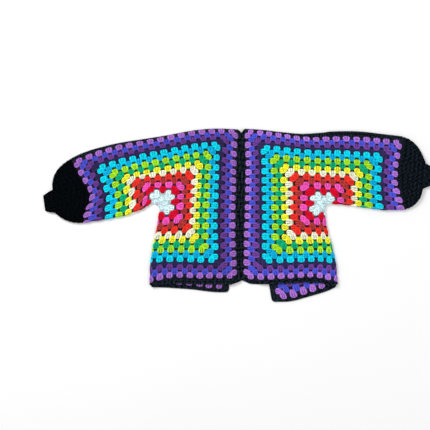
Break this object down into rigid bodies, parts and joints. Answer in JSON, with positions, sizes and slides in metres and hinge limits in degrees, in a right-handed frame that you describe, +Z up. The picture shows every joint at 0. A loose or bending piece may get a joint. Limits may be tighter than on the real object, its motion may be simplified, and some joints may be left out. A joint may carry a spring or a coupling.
{
  "type": "crocheted granny hexagon cardigan laid flat",
  "caption": "Open-front crocheted cardigan of two folded rainbow granny hexagons with black joins, bands, puffed sleeve ends and ribbed cuffs, laid flat with its back uppermost.",
  "frame": {"origin": "on the floor under the middle of the spread garment's bounding box", "axes": "+X towards the right sleeve end as seen from above, +Y from the hem to the neck, +Z up out of the floor"},
  "size_m": [1.178, 0.5216, 0.0145],
  "materials": {
    "rainbow_yarn": "matt acrylic worsted yarn in sixteen rounds of colour, from white at the underarm through red, pink, orange, cream, yellow, green, blue and purple to orchid",
    "black_yarn": "matt near-black acrylic worsted yarn in tight crochet rows"
  },
  "bodies": {
    "root": {"hexagon_left": "rainbow_yarn", "hexagon_right": "rainbow_yarn", "centre_back_join": "black_yarn", "shoulder_join_left": "black_yarn", "shoulder_join_right": "black_yarn", "hem_band_left": "black_yarn", "hem_band_right": "black_yarn", "front_band_left": "black_yarn", "front_band_right": "black_yarn", "sleeve_end_left": "black_yarn", "sleeve_end_right": "black_yarn", "cuff_left": "black_yarn", "cuff_right": "black_yarn"}
  },
  "joints": []
}
